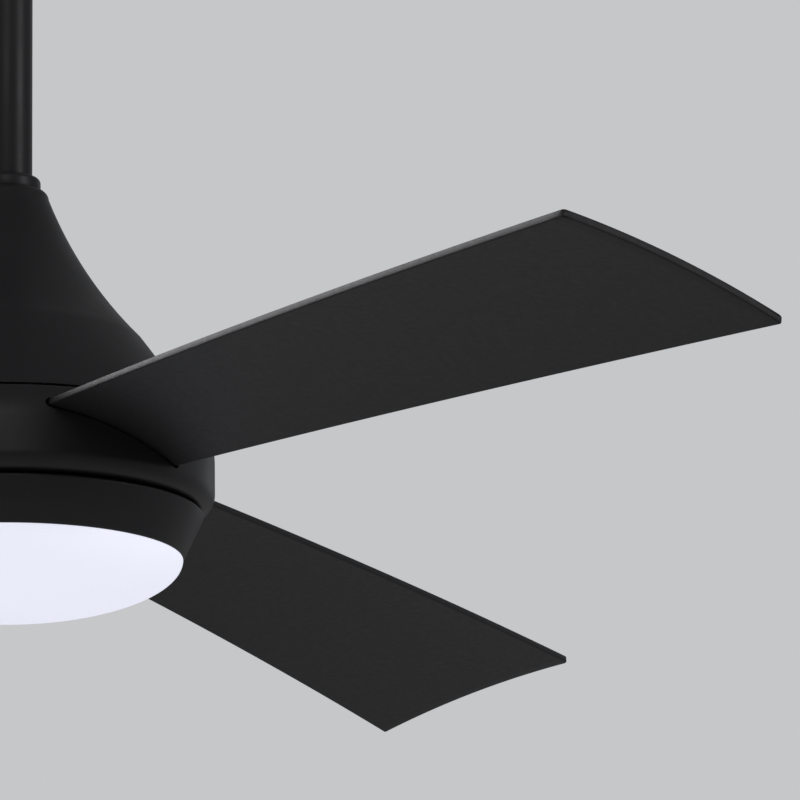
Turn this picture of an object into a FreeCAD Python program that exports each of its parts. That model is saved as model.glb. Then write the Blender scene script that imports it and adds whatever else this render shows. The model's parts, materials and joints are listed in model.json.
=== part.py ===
import FreeCAD, Part
import math
import os
import Sketcher

# Ceiling fan with light, hanging from the ceiling plane at z = 0, in millimetres.
# The downrod hangs from a ball in the ceiling bracket. Heights below the rod are
# counted from hub_z, the level of the blade tips' leading corners.
os.makedirs("parts", exist_ok=True)
doc = FreeCAD.newDocument("ceiling_fan")
sheet = doc.addObject("Spreadsheet::Sheet", "sizes")


class Size:
    """A length that knows its value and the spreadsheet expression behind it."""

    def __init__(self, value, text):
        self.value = float(value)
        self.text = text

    def __add__(self, other):
        other = size_of(other)
        return Size(self.value + other.value, f"({self.text} + {other.text})")

    def __sub__(self, other):
        other = size_of(other)
        return Size(self.value - other.value, f"({self.text} - {other.text})")

    def __mul__(self, other):
        other = size_of(other)
        return Size(self.value * other.value, f"({self.text} * {other.text})")

    def __truediv__(self, other):
        other = size_of(other)
        return Size(self.value / other.value, f"({self.text} / {other.text})")

    def __neg__(self):
        return Size(-self.value, f"(0 - {self.text})")

    def __radd__(self, other):
        return size_of(other) + self

    def __rsub__(self, other):
        return size_of(other) - self

    def __rmul__(self, other):
        return size_of(other) * self


def size_of(number):
    return number if isinstance(number, Size) else Size(number, repr(float(number)))


def root(size):
    return Size(math.sqrt(size.value), f"sqrt({size.text})")


def cosine(angle):
    return Size(math.cos(math.radians(angle.value)), f"cos({angle.text} * 1deg)")


def sine(angle):
    return Size(math.sin(math.radians(angle.value)), f"sin({angle.text} * 1deg)")


SIZES = {
    # general
    "sheet_gap": 0.3, "fit_gap": 0.05, "hole_gap": 0.25,
    # ceiling bracket, its ball seat and the canopy
    "bracket_length": 145.8, "bracket_width": 68, "bracket_sheet": 2.5, "strap_length": 118,
    "ear_width": 16, "ear_drop": 18, "leg_width": 28, "leg_play": 3, "leg_sheet": 4,
    "box_screw_spacing": 89, "box_slot_length": 16, "box_slot_width": 5.4, "wire_hole_radius": 15,
    "ball_radius": 28, "ball_depth": 36, "ball_top": 14, "ball_bottom": 20,
    "seat_height": 12, "seat_top": 10, "gate_play": 0.75, "tab_radius": 2, "groove_depth": 2.6,
    "canopy_radius": 75, "canopy_wall": 1.5, "canopy_gap": 1, "canopy_side": 23,
    "canopy_bend": 42, "canopy_hole_play": 4.7, "canopy_screw_depth": 13,
    "receiver_length": 72, "receiver_width": 26, "receiver_height": 17, "receiver_offset": 28,
    "receiver_round": 2,
    # downrod and what is pinned to it
    "rod_radius": 15.3, "rod_wall": 2.3, "rod_top_depth": 20, "rod_length": 325,
    "ball_pin_radius": 3, "ball_pin_length": 48, "ball_pin_rise": 6, "grub_radius": 2.5,
    "collar_wall": 5, "collar_height": 8, "collar_round": 3,
    "coupling_wall": 4.7, "coupling_flange_radius": 34, "coupling_flange": 6,
    "coupling_margin": 3, "clevis_pin_radius": 4, "clevis_pin_head_radius": 5.5,
    "clevis_pin_head": 2, "clevis_pin_tail": 4, "clevis_pin_height": 162, "clip_radius": 1,
    "clip_loop": 2.5, "clip_rise": 3.2, "clip_start": 7.2, "thread_share": 0.9,
    # upper shell: heights above hub_z
    "hub_drop": 155, "shell_top": 177, "shell_wall": 1.8, "shoulder_step": 4.9,
    "shoulder_height": 171.8, "shoulder_bend": 5.5, "crease_radius": 81, "crease_height": 84,
    "trumpet_bend": 260, "skirt_radius": 116.9, "skirt_height": 31.9, "skirt_bend": 900,
    "lip_height": 100, "lip_thickness": 3, "lip_inner": 50, "lip_bite": 7.2,
    "shoulder_inner_bend": 4.4, "skirt_inset": 2.16, "shell_plate_radius": 61,
    "shell_plate_sheet": 2, "lip_screw_circle": 56, "flange_screw_circle": 27,
    # motor
    "shaft_radius": 9, "shaft_wall": 3, "shaft_top": 130, "shaft_bottom": -33,
    "stator_bottom": 8, "stator_height": 26, "stator_hub": 26, "tooth_width": 8,
    "tooth_end": 61.5, "shoe_width": 24, "shoe_depth": 4, "coil_start": 33.5, "coil_end": 56,
    "coil_side": 4.1, "coil_play": 0.3, "magnet_inner": 65.5, "magnet_angle": 24,
    "magnet_margin": 1, "ring_inner": 71, "ring_wall": 6, "ring_bottom": 4, "ring_height": 34,
    "bell_radius": 84, "bell_rim": 4, "bell_sheet": 4, "bell_hub_wall": 7, "lip_depth": 1.5,
    "bearing_inner": 9, "bearing_outer": 17, "bearing_width": 9, "bearing_ball": 2.2,
    "race_wall": 3.2, "circlip_sheet": 1.2, "circlip_outer": 11, "circlip_groove": 0.5,
    "bell_screw_circle": 80.5,
    # rotor parts that carry the blades
    "carrier_inner": 60, "carrier_step": 80, "carrier_sheet": 3.5, "carrier_drop": 8.6,
    "carrier_radius": 110, "carrier_screw_circle": 70, "band_radius": 123.2,
    "band_wall": 2.4, "band_top_radius": 117.3, "band_top": 30.7, "band_shoulder": 10,
    "band_turn": -8.7, "band_bottom": -19.25, "band_bottom_radius": 113.2,
    "band_shoulder_bend": 39, "band_turn_bend": 10.5, "band_flange_inner": 102,
    "slot_clearance": 0.8, "slot_end": 1.7, "slot_reach": 39.5, "slot_overcut": 4.8,
    "band_foot_bend": 7.2,
    "bracket_foot": 22, "bracket_root": 86, "bracket_front": 24, "bracket_back": 27,
    # blades
    "blade_root": 88, "blade_tip": 660, "blade_chord_root": 88, "blade_chord_tip": 144.3,
    "blade_pitch_root": 16.7, "blade_pitch_tip": 14.7, "blade_thickness": 4.5,
    "blade_level": 8.4, "blade_droop": 26.9, "blade_lead_root": 6.8, "blade_lead_tip": 11.4,
    "blade_bow": 6.2, "blade_camber": 0.026, "blade_edge_bend": 6, "tip_skew": 4.6,
    "tip_corner": 3,
    "blade_screw_station": 97, "blade_screw_pitch": 18,
    # light kit: heights above hub_z
    "light_ring_radius": 116.5, "light_ring_top": -20.8, "light_ring_wall": 2.6,
    "light_ring_edge": 1.6, "light_ring_flange": 2, "light_ring_bore": 96,
    "lens_radius": 104.3, "lens_rim": -47.4, "lens_depth": 31.8, "lens_wall": 2.4,
    "lens_neck": 7, "lens_neck_inset": 2.8, "lens_play": 0.2, "light_plate_sheet": 2,
    "light_ring_inner": 110.4, "light_plate_play": 0.7, "nut_radius": 14, "nut_height": 6,
    "ring_screw_inset": 6,
    "led_board_radius": 86, "led_board_hole": 17, "led_board_sheet": 1.6, "led_board_height": -38,
    "led_screw_circle": 78, "led_standoff_radius": 4, "led_chip": 3.5, "led_chip_height": 0.8,
    "led_inner_circle": 34, "led_outer_circle": 64,
    "driver_length": 62, "driver_width": 30, "driver_height": 11, "driver_offset": 24,
    # fasteners
    "screw_radius": 2, "screw_head_radius": 3.8, "screw_head": 2.2,
}
BLADES = 3
TEETH = 12
MAGNETS = 14
BEARING_BALLS = 11
BELL_SCREWS = 6
CARRIER_SCREWS = 6
PLATE_SCREWS = 3
STANDOFFS = 4
LED_CHIPS_INNER = 10
LED_CHIPS_OUTER = 18
BLADE_SCREWS = 3
FIRST_BLADE = -60
STATIONS = 4


def fill_sheet():
    """Write every driving size to the sheet and return them as Size objects."""
    sizes = {}
    for row, (name, value) in enumerate(SIZES.items(), start=1):
        sheet.set(f"A{row}", name)
        sheet.set(f"B{row}", str(value))
        sheet.setAlias(f"B{row}", name)
        sizes[name] = Size(value, f"sizes.{name}")
    doc.recompute()
    return type("Sizes", (), sizes)


S = fill_sheet()
nodes = []
hub_z = -(S.rod_top_depth + S.rod_length + S.hub_drop)


def node(obj, label):
    """Name an object as one finished piece of the fan."""
    obj.Label = label
    nodes.append(obj)
    return obj


def bind(obj, path, size):
    """Bind one property of an object to a size."""
    obj.setExpression(path, size_of(size).text)


# ---- PartDesign helpers ------------------------------------------------------------

def new_body(label):
    return node(doc.addObject("PartDesign::Body", label), label)


def origin_feature(body, role):
    return next(item for item in body.Origin.OriginFeatures if item.Role == role)


def sketch_on(body, role, name, at=(0, 0, 0), turn=None):
    """Make a sketch on one of the body's own planes, shifted and turned in that plane's frame."""
    sketch = body.newObject("Sketcher::SketchObject", name)
    sketch.AttachmentSupport = [(origin_feature(body, role), "")]
    sketch.MapMode = "FlatFace"
    for axis, value in zip("xyz", at):
        if isinstance(value, Size):
            bind(sketch, f"AttachmentOffset.Base.{axis}", value)
    if turn:
        rotation_axis, angle = turn
        offset = FreeCAD.Vector(*[size_of(value).value for value in at])
        spin = FreeCAD.Rotation(FreeCAD.Vector(*rotation_axis), angle.value)
        sketch.AttachmentOffset = FreeCAD.Placement(offset, spin)
        bind(sketch, "AttachmentOffset.Rotation.Angle", angle)
    return sketch


def hold_across(sketch, geometry, point, kind, size):
    """Dimension one sketch point from the sketch origin, along X or Y."""
    size = size_of(size)
    if abs(size.value) < 1e-9:
        axis = -2 if kind == "DistanceX" else -1
        sketch.addConstraint(Sketcher.Constraint("PointOnObject", geometry, point, axis))
        return
    made = Sketcher.Constraint(kind, -1, 1, geometry, point, size.value)
    index = sketch.addConstraint(made)
    sketch.setExpression(f"Constraints[{index}]", size.text)


def hold(sketch, geometry, point, x, y):
    hold_across(sketch, geometry, point, "DistanceX", x)
    hold_across(sketch, geometry, point, "DistanceY", y)


def hold_radius(sketch, geometry, size):
    index = sketch.addConstraint(Sketcher.Constraint("Radius", geometry, size.value))
    sketch.setExpression(f"Constraints[{index}]", size.text)


def arc_between(start, end, bend, hollow):
    """The circle arc from start to end; hollow puts its centre on the left of the way."""
    chord = end - start
    side = FreeCAD.Vector(-chord.y, chord.x, 0).normalize()
    reach = math.sqrt(max(bend ** 2 - (chord.Length / 2) ** 2, 0))
    centre = (start + end) * 0.5 + side * (reach if hollow else -reach)
    first, last = (start, end) if hollow else (end, start)
    angles = [math.atan2(p.y - centre.y, p.x - centre.x) for p in (first, last)]
    if angles[1] <= angles[0]:
        angles[1] += 2 * math.pi
    circle = Part.Circle(centre, FreeCAD.Vector(0, 0, 1), bend)
    return Part.ArcOfCircle(circle, *angles)


def outline(sketch, path):
    """Draw a closed outline. A corner is (x, y), or (x, y, bend, hollow) when an arc leads to it."""
    corners = [FreeCAD.Vector(size_of(c[0]).value, size_of(c[1]).value, 0) for c in path]
    ends = []
    for index, corner in enumerate(path):
        start, end = corners[index - 1], corners[index]
        if len(corner) == 2:
            geometry = sketch.addGeometry(Part.LineSegment(start, end))
            ends.append((geometry, 1, 2))
            continue
        bend, hollow = corner[2:]
        geometry = sketch.addGeometry(arc_between(start, end, bend.value, hollow))
        half_round = abs((end - start).Length - 2 * bend.value) < 1e-6
        if half_round:
            chord = end - start
            way = 0 if abs(chord.y) > abs(chord.x) else 1
            middle = (size_of(path[index - 1][way]) + corner[way]) / 2
            hold_across(sketch, geometry, 3, ("DistanceX", "DistanceY")[way], middle)
        else:
            hold_radius(sketch, geometry, bend)
        ends.append((geometry, 1, 2) if hollow else (geometry, 2, 1))
    for index, (geometry, first, last) in enumerate(ends):
        before = ends[index - 1]
        sketch.addConstraint(Sketcher.Constraint("Coincident", before[0], before[2], geometry, first))
        hold(sketch, geometry, last, path[index][0], path[index][1])
    return sketch


def rectangle(sketch, left, right, low, high):
    return outline(sketch, [(left, low), (right, low), (right, high), (left, high)])


def round_hole(sketch, x, y, radius):
    centre = FreeCAD.Vector(size_of(x).value, size_of(y).value, 0)
    circle = Part.Circle(centre, FreeCAD.Vector(0, 0, 1), radius.value)
    geometry = sketch.addGeometry(circle)
    hold(sketch, geometry, 3, x, y)
    hold_radius(sketch, geometry, radius)
    return sketch


def pad(body, sketch, length, reverse=False):
    feature = body.newObject("PartDesign::Pad", "Pad")
    feature.Profile = sketch
    bind(feature, "Length", length)
    feature.Reversed = reverse
    return feature


def pocket(body, sketch, length=None, reverse=False):
    """Cut a sketch out of the body: through all of it both ways, or to a length one way."""
    feature = body.newObject("PartDesign::Pocket", "Pocket")
    feature.Profile = sketch
    if length is None:
        feature.Type = "ThroughAll"
        feature.Midplane = True
    else:
        bind(feature, "Length", length)
        feature.Reversed = reverse
    return feature


def turn_about_z(body, sketch, cut=False):
    kind = "PartDesign::Groove" if cut else "PartDesign::Revolution"
    feature = body.newObject(kind, "Turned")
    feature.Profile = sketch
    feature.ReferenceAxis = (sketch, ["V_Axis"])
    feature.Angle = 360
    return feature


def ring_of(body, feature, count):
    pattern = body.newObject("PartDesign::PolarPattern", "Ring")
    pattern.Originals = [feature]
    pattern.Axis = (origin_feature(body, "Z_Axis"), [""])
    pattern.Angle = 360
    pattern.Occurrences = count
    body.Tip = pattern
    return pattern


def turned(label, path):
    """A piece made on a lathe: an outline in radius and height, turned about the fan's axis."""
    body = new_body(label)
    turn_about_z(body, outline(sketch_on(body, "XZ_Plane", "Section"), path))
    return body


def tube_path(inner, outer, low, high):
    return [(inner, low), (outer, low), (outer, high), (inner, high)]


def hole_ring(body, circle_radius, radius, count, low, height):
    """Drill a ring of vertical holes upwards from a level."""
    holes = sketch_on(body, "XY_Plane", "Holes", at=(0, 0, low))
    round_hole(holes, circle_radius, 0, radius)
    return ring_of(body, pocket(body, holes, height, reverse=True), count)


# ---- Part helpers -------------------------------------------------------------------

def place(obj, at, spin=None):
    """Place a primitive; spin is (axis, degrees)."""
    base = FreeCAD.Vector(*[size_of(value).value for value in at])
    rotation = FreeCAD.Rotation(FreeCAD.Vector(*spin[0]), spin[1]) if spin else FreeCAD.Rotation()
    obj.Placement = FreeCAD.Placement(base, rotation)
    for axis, value in zip("xyz", at):
        if isinstance(value, Size):
            bind(obj, f"Placement.Base.{axis}", value)
    return obj


def cylinder(radius, height, at, spin=None, angle=360):
    obj = doc.addObject("Part::Cylinder", "Round")
    bind(obj, "Radius", radius)
    bind(obj, "Height", height)
    bind(obj, "Angle", angle)
    return place(obj, at, spin)


def box(length, width, height, at):
    obj = doc.addObject("Part::Box", "Block")
    for name, size in (("Length", length), ("Width", width), ("Height", height)):
        bind(obj, name, size)
    return place(obj, at)


def cut(base, tool):
    obj = doc.addObject("Part::Cut", "Cut")
    obj.Base = base
    obj.Tool = tool
    return obj


def fuse(*pieces):
    obj = doc.addObject("Part::MultiFuse", "Joined")
    obj.Shapes = list(pieces)
    return obj


def group(label, pieces):
    """Several equal pieces that share one node, each still a solid of its own."""
    obj = doc.addObject("Part::Compound", label)
    obj.Links = pieces
    return node(obj, label)


def on_circle(radius, angle):
    """Place on a circle, as sizes bound to its radius."""
    turn = math.radians(angle)
    return radius * round(math.cos(turn), 9), radius * round(math.sin(turn), 9)


def around(count, start=0):
    return [start + 360 / count * step for step in range(count)]


DOWN = ((1, 0, 0), 180)
ALONG_X = ((0, 1, 0), 90)
ALONG_MINUS_X = ((0, 1, 0), -90)
ALONG_Y = ((1, 0, 0), -90)


def screw(at, length, upward):
    """A pan-head machine screw whose head seats at a point; its shank runs up or down from there."""
    x, y, z = at
    turn = None if upward else DOWN
    flip = DOWN if upward else None
    shank = cylinder(S.screw_radius, length, (x, y, z), turn)
    head = cylinder(S.screw_head_radius, S.screw_head, (x, y, z), flip)
    return fuse(shank, head)


def screw_ring(label, circle_radius, z, length, count, upward=True, start=0):
    places = [on_circle(circle_radius, angle) for angle in around(count, start)]
    return group(label, [screw((x, y, z), length, upward) for x, y in places])


# ---- ceiling bracket and canopy -------------------------------------------------------

ball_z = -S.ball_depth
sheet_low = -S.bracket_sheet
seat_high = ball_z - S.seat_top
seat_low = seat_high - S.seat_height
seat_bore = S.ball_radius + S.fit_gap
leg_gap = S.ball_radius + S.leg_play


def make_ceiling_bracket():
    body = new_body("ceiling_bracket")
    half_length = S.bracket_length / 2
    for length, width in ((S.strap_length, S.bracket_width), (S.bracket_length, S.ear_width)):
        strap = sketch_on(body, "XY_Plane", "Strap", at=(0, 0, sheet_low))
        rectangle(strap, -length / 2, length / 2, -width / 2, width / 2)
        pad(body, strap, S.bracket_sheet)
    for side in (-1, 1):
        ear = sketch_on(body, "XY_Plane", "Ear", at=(0, 0, sheet_low))
        edges = sorted([side * half_length, side * (half_length - S.bracket_sheet)],
                       key=lambda size: size.value)
        rectangle(ear, *edges, -S.ear_width / 2, S.ear_width / 2)
        pad(body, ear, S.ear_drop, reverse=True)
        leg = sketch_on(body, "XY_Plane", "Leg", at=(0, 0, sheet_low))
        edges = sorted([side * leg_gap, side * (leg_gap + S.leg_sheet)],
                       key=lambda size: size.value)
        rectangle(leg, *edges, -S.leg_width / 2, S.leg_width / 2)
        pad(body, leg, sheet_low - seat_low, reverse=True)
    mouth = root(seat_bore * seat_bore - S.seat_top * S.seat_top)
    foot = S.ball_bottom
    foot_z = ball_z - root(seat_bore * seat_bore - foot * foot)
    rim = leg_gap + S.leg_sheet
    seat = sketch_on(body, "XZ_Plane", "Seat")
    outline(seat, [(mouth, seat_high), (foot, foot_z, seat_bore, False), (foot, seat_low),
                   (rim, seat_low), (rim, seat_high)])
    turn_about_z(body, seat)
    gate = sketch_on(body, "XY_Plane", "Gate", at=(0, 0, seat_high))
    half_gate = S.rod_radius + S.gate_play
    rectangle(gate, -half_gate, half_gate, 0, 2 * rim)
    pocket(body, gate, S.seat_height)
    tab = sketch_on(body, "YZ_Plane", "Tab", at=(0, 0, -leg_gap))
    round_hole(tab, 0, ball_z, S.tab_radius)
    pad(body, tab, leg_gap - S.ball_radius + S.groove_depth - 2 * S.hole_gap)
    holes = sketch_on(body, "XY_Plane", "Holes", at=(0, 0, 0))
    round_hole(holes, 0, 0, S.wire_hole_radius)
    slot_end = S.box_slot_width / 2
    for side in (-1, 1):
        middle = side * S.box_screw_spacing / 2
        left = middle - S.box_slot_length / 2 + slot_end
        right = middle + S.box_slot_length / 2 - slot_end
        outline(holes, [(left, -slot_end), (right, -slot_end), (right, slot_end, slot_end, True),
                        (left, slot_end), (left, -slot_end, slot_end, True)][1:])
    pocket(body, holes, S.bracket_sheet)
    screws = sketch_on(body, "YZ_Plane", "EarHoles")
    round_hole(screws, 0, -S.canopy_screw_depth, S.screw_radius + S.fit_gap)
    pocket(body, screws)


def make_canopy():
    inner = S.canopy_radius - S.canopy_wall
    bottom = -(S.canopy_gap + S.canopy_side + S.canopy_bend)
    hole = S.rod_radius + S.canopy_hole_play
    bend_start = -(S.canopy_gap + S.canopy_side)
    flat = S.canopy_radius - S.canopy_bend
    body = turned("canopy", [
        (S.canopy_radius, -S.canopy_gap), (inner, -S.canopy_gap), (inner, bend_start),
        (flat, bottom + S.canopy_wall, S.canopy_bend - S.canopy_wall, False),
        (hole, bottom + S.canopy_wall), (hole, bottom),
        (flat, bottom), (S.canopy_radius, bend_start, S.canopy_bend, True)])
    screws = sketch_on(body, "YZ_Plane", "ScrewHoles")
    round_hole(screws, 0, -S.canopy_screw_depth, S.screw_radius + S.hole_gap)
    pocket(body, screws)


def make_canopy_screws():
    made = []
    shank = S.canopy_radius - S.bracket_length / 2 + 2 * S.bracket_sheet
    for side, inward, outward in ((-1, ALONG_X, ALONG_MINUS_X), (1, ALONG_MINUS_X, ALONG_X)):
        seat = (side * (S.canopy_radius + S.fit_gap), 0, -S.canopy_screw_depth)
        made.append(fuse(cylinder(S.screw_radius, shank, seat, inward),
                         cylinder(S.screw_head_radius, S.screw_head, seat, outward)))
    group("canopy_screws", made)


def make_receiver():
    block = box(S.receiver_length, S.receiver_width, S.receiver_height,
                (-S.receiver_length / 2, S.receiver_offset, sheet_low - S.receiver_height))
    doc.recompute()
    case = doc.addObject("Part::Fillet", "receiver")
    case.Base = block
    upright = [index for index, edge in enumerate(block.Shape.Edges, start=1)
               if edge.BoundBox.ZLength > S.receiver_height.value / 2]
    bend = S.receiver_round.value
    case.Edges = [(index, bend, bend) for index in upright]
    node(case, "receiver")


# ---- ball, downrod and coupling -------------------------------------------------------

rod_bore = S.rod_radius + S.fit_gap
collar_radius = S.rod_radius + S.collar_wall
coupling_radius = S.rod_radius + S.coupling_wall
shoulder_radius = collar_radius + S.shoulder_step
pin_z = ball_z + S.ball_pin_rise
clevis_z = hub_z + S.clevis_pin_height
shell_top_z = hub_z + S.shell_top
coupling_top = shell_top_z - S.shell_wall - S.sheet_gap - S.coupling_margin
rod_bottom = -(S.rod_top_depth + S.rod_length)
plate_top = hub_z + S.lip_height


def cross_bore(body, z, radius):
    """Bore a hole right through along the Y axis."""
    hole = sketch_on(body, "XZ_Plane", "CrossBore")
    round_hole(hole, 0, z, radius)
    return pocket(body, hole)


def make_hanger_ball():
    high = ball_z + S.ball_top
    low = ball_z - S.ball_bottom
    top_radius = root(S.ball_radius * S.ball_radius - S.ball_top * S.ball_top)
    low_radius = root(S.ball_radius * S.ball_radius - S.ball_bottom * S.ball_bottom)
    body = turned("hanger_ball", [(rod_bore, low), (low_radius, low),
                                  (top_radius, high, S.ball_radius, True), (rod_bore, high)])
    cross_bore(body, pin_z, S.ball_pin_radius + S.fit_gap)
    groove = sketch_on(body, "XY_Plane", "Groove", at=(0, 0, high))
    half = S.tab_radius + S.hole_gap
    rectangle(groove, -2 * S.ball_radius, -(S.ball_radius - S.groove_depth), -half, half)
    pocket(body, groove, S.ball_top + 3 * S.tab_radius)
    grub = sketch_on(body, "YZ_Plane", "GrubHole", at=(0, 0, rod_bore - S.rod_wall))
    round_hole(grub, 0, ball_z, S.grub_radius + S.fit_gap)
    pocket(body, grub, 2 * S.ball_radius, reverse=True)


def make_ball_fasteners():
    at = (0, -S.ball_pin_length / 2, pin_z)
    node(cylinder(S.ball_pin_radius, S.ball_pin_length, at, ALONG_Y), "ball_pin")
    length = (S.ball_radius - S.rod_radius) * S.thread_share
    at = (S.rod_radius + S.fit_gap, 0, ball_z)
    node(cylinder(S.grub_radius, length, at, ALONG_X), "ball_grub_screw")


def make_downrod():
    inner = S.rod_radius - S.rod_wall
    body = turned("downrod", tube_path(inner, S.rod_radius, rod_bottom, -S.rod_top_depth))
    cross_bore(body, pin_z, S.ball_pin_radius + S.fit_gap)
    cross_bore(body, clevis_z, S.clevis_pin_radius + S.fit_gap)


def make_rod_collar():
    inner = S.rod_radius + S.sheet_gap
    high = shell_top_z + S.collar_height
    turned("rod_collar", [(inner, shell_top_z), (collar_radius, shell_top_z),
                          (collar_radius, high - S.collar_round),
                          (collar_radius - S.collar_round, high, S.collar_round, True),
                          (inner, high)])


def make_coupling():
    shaft_bore = S.shaft_radius + S.fit_gap
    step = rod_bottom - S.fit_gap
    flange_top = plate_top + S.coupling_flange
    body = turned("motor_coupling", [
        (shaft_bore, plate_top), (S.coupling_flange_radius, plate_top),
        (S.coupling_flange_radius, flange_top), (coupling_radius, flange_top),
        (coupling_radius, coupling_top), (rod_bore, coupling_top), (rod_bore, step),
        (shaft_bore, step)])
    cross_bore(body, clevis_z, S.clevis_pin_radius + S.fit_gap)
    hole_ring(body, S.flange_screw_circle, S.screw_radius + S.fit_gap, PLATE_SCREWS,
              plate_top, S.coupling_flange)
    grubs = sketch_on(body, "YZ_Plane", "GrubHoles")
    round_hole(grubs, 0, clevis_z, S.grub_radius + S.fit_gap)
    pocket(body, grubs)


def make_coupling_fasteners():
    reach = coupling_radius + S.hole_gap
    pin_length = 2 * reach + S.clevis_pin_tail
    head = cylinder(S.clevis_pin_head_radius, S.clevis_pin_head,
                    (0, -(reach + S.clevis_pin_head), clevis_z), ALONG_Y)
    shank = cylinder(S.clevis_pin_radius, pin_length, (0, -reach, clevis_z), ALONG_Y)
    clip_y = reach + S.clip_radius * 2
    hole = cylinder(S.clip_radius + S.fit_gap, 4 * S.clevis_pin_radius,
                    (0, clip_y, clevis_z - 2 * S.clevis_pin_radius))
    node(cut(fuse(head, shank), hole), "clevis_pin")
    loop = doc.addObject("Part::Torus", "Loop")
    bind(loop, "Radius1", S.clip_loop * S.clip_radius)
    bind(loop, "Radius2", S.clip_radius)
    rise = clevis_z + S.clevis_pin_radius + S.clip_rise * S.clip_radius
    place(loop, (0, clip_y, rise), ALONG_Y)
    leg = cylinder(S.clip_radius, S.clip_start + rise - clevis_z - S.clip_loop * S.clip_radius,
                   (0, clip_y, clevis_z - S.clip_start))
    node(fuse(leg, loop), "clevis_clip")
    length = coupling_radius - S.rod_radius - S.fit_gap
    grubs = [cylinder(S.grub_radius, length, (side * (S.rod_radius + S.fit_gap), 0, clevis_z), spin)
             for side, spin in ((-1, ALONG_MINUS_X), (1, ALONG_X))]
    group("coupling_grub_screws", grubs)


# ---- upper shell ----------------------------------------------------------------------

def make_upper_shell():
    wall = S.shell_wall
    bore = S.rod_radius + 2 * S.sheet_gap
    crease_z = hub_z + S.crease_height
    skirt_z = hub_z + S.skirt_height
    shoulder_z = hub_z + S.shoulder_height
    shoulder_edge = collar_radius + S.sheet_gap
    slant = wall * math.sqrt(0.5)
    body = turned("upper_shell", [
        (bore, shell_top_z), (bore, shell_top_z - wall),
        (shoulder_edge, shell_top_z - wall),
        (shoulder_radius - wall, shoulder_z - wall, S.shoulder_inner_bend, False),
        (S.crease_radius - slant, crease_z - slant, S.trumpet_bend + wall, True),
        (S.skirt_radius - S.skirt_inset, skirt_z, S.skirt_bend - wall, False),
        (S.skirt_radius, skirt_z), (S.crease_radius, crease_z, S.skirt_bend, True),
        (shoulder_radius, shoulder_z, S.trumpet_bend, False),
        (shoulder_edge, shell_top_z, S.shoulder_bend, True)])
    lip = sketch_on(body, "XZ_Plane", "Lip")
    lip_top = plate_top + S.lip_thickness
    chord = S.crease_radius - shoulder_radius
    run = S.shoulder_height - S.crease_height
    outer = S.crease_radius - chord * (S.lip_height - S.crease_height) / run - S.lip_bite
    rectangle(lip, S.lip_inner, outer, plate_top, lip_top)
    turn_about_z(body, lip)
    hole_ring(body, S.lip_screw_circle, S.screw_radius + S.fit_gap, PLATE_SCREWS,
              plate_top, S.lip_thickness)


def make_shell_plate():
    low = plate_top - S.shell_plate_sheet
    body = turned("shell_plate", tube_path(S.shaft_radius + S.hole_gap, S.shell_plate_radius,
                                           low, plate_top))
    for circle_radius in (S.lip_screw_circle, S.flange_screw_circle):
        hole_ring(body, circle_radius, S.screw_radius + S.hole_gap, PLATE_SCREWS,
                  low, S.shell_plate_sheet)
    length = S.shell_plate_sheet + S.coupling_flange * S.thread_share
    screw_ring("flange_screws", S.flange_screw_circle, low, length, PLATE_SCREWS)
    length = S.shell_plate_sheet + S.lip_thickness * S.thread_share
    screw_ring("shell_screws", S.lip_screw_circle, low, length, PLATE_SCREWS)


# ---- motor ----------------------------------------------------------------------------

ring_low = hub_z + S.ring_bottom
ring_high = ring_low + S.ring_height
upper_bell_top = ring_high + S.bell_rim + S.bell_sheet
lower_bell_low = ring_low - S.bell_rim - S.bell_sheet
bearing_levels = {"upper": upper_bell_top - S.bearing_width, "lower": lower_bell_low}


def make_shaft():
    body = turned("motor_shaft", tube_path(S.shaft_radius - S.shaft_wall, S.shaft_radius,
                                           hub_z + S.shaft_bottom, hub_z + S.shaft_top))
    clips = []
    for level in bearing_levels.values():
        low = level - S.circlip_sheet - S.fit_gap
        groove = sketch_on(body, "XZ_Plane", "ClipGroove")
        bottom = S.shaft_radius - S.circlip_groove
        rectangle(groove, bottom, 2 * S.shaft_radius, low, level)
        turn_about_z(body, groove, cut=True)
        outer = cylinder(S.circlip_outer, S.circlip_sheet, (0, 0, low))
        inner = cylinder(bottom + S.fit_gap, S.circlip_sheet, (0, 0, low))
        clips.append(cut(outer, inner))
    group("shaft_circlips", clips)


def make_bearings():
    pitch = (S.bearing_inner + S.bearing_outer) / 2
    half = S.bearing_width / 2
    for name, low in bearing_levels.items():
        rings = {
            "inner_race": (S.bearing_inner + S.fit_gap, S.bearing_inner + S.race_wall),
            "outer_race": (S.bearing_outer - S.race_wall, S.bearing_outer),
        }
        for ring, (inner, outer) in rings.items():
            track = doc.addObject("Part::Torus", "Track")
            bind(track, "Radius1", pitch)
            bind(track, "Radius2", S.bearing_ball + S.fit_gap)
            place(track, (0, 0, low + half))
            blank = cut(cylinder(outer, S.bearing_width, (0, 0, low)),
                        cylinder(inner, S.bearing_width, (0, 0, low)))
            node(cut(blank, track), f"{name}_{ring}")
        balls = []
        for angle in around(BEARING_BALLS):
            ball = doc.addObject("Part::Sphere", "Ball")
            bind(ball, "Radius", S.bearing_ball)
            balls.append(place(ball, (*on_circle(pitch, angle), low + half)))
        group(f"{name}_bearing_balls", balls)


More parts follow.
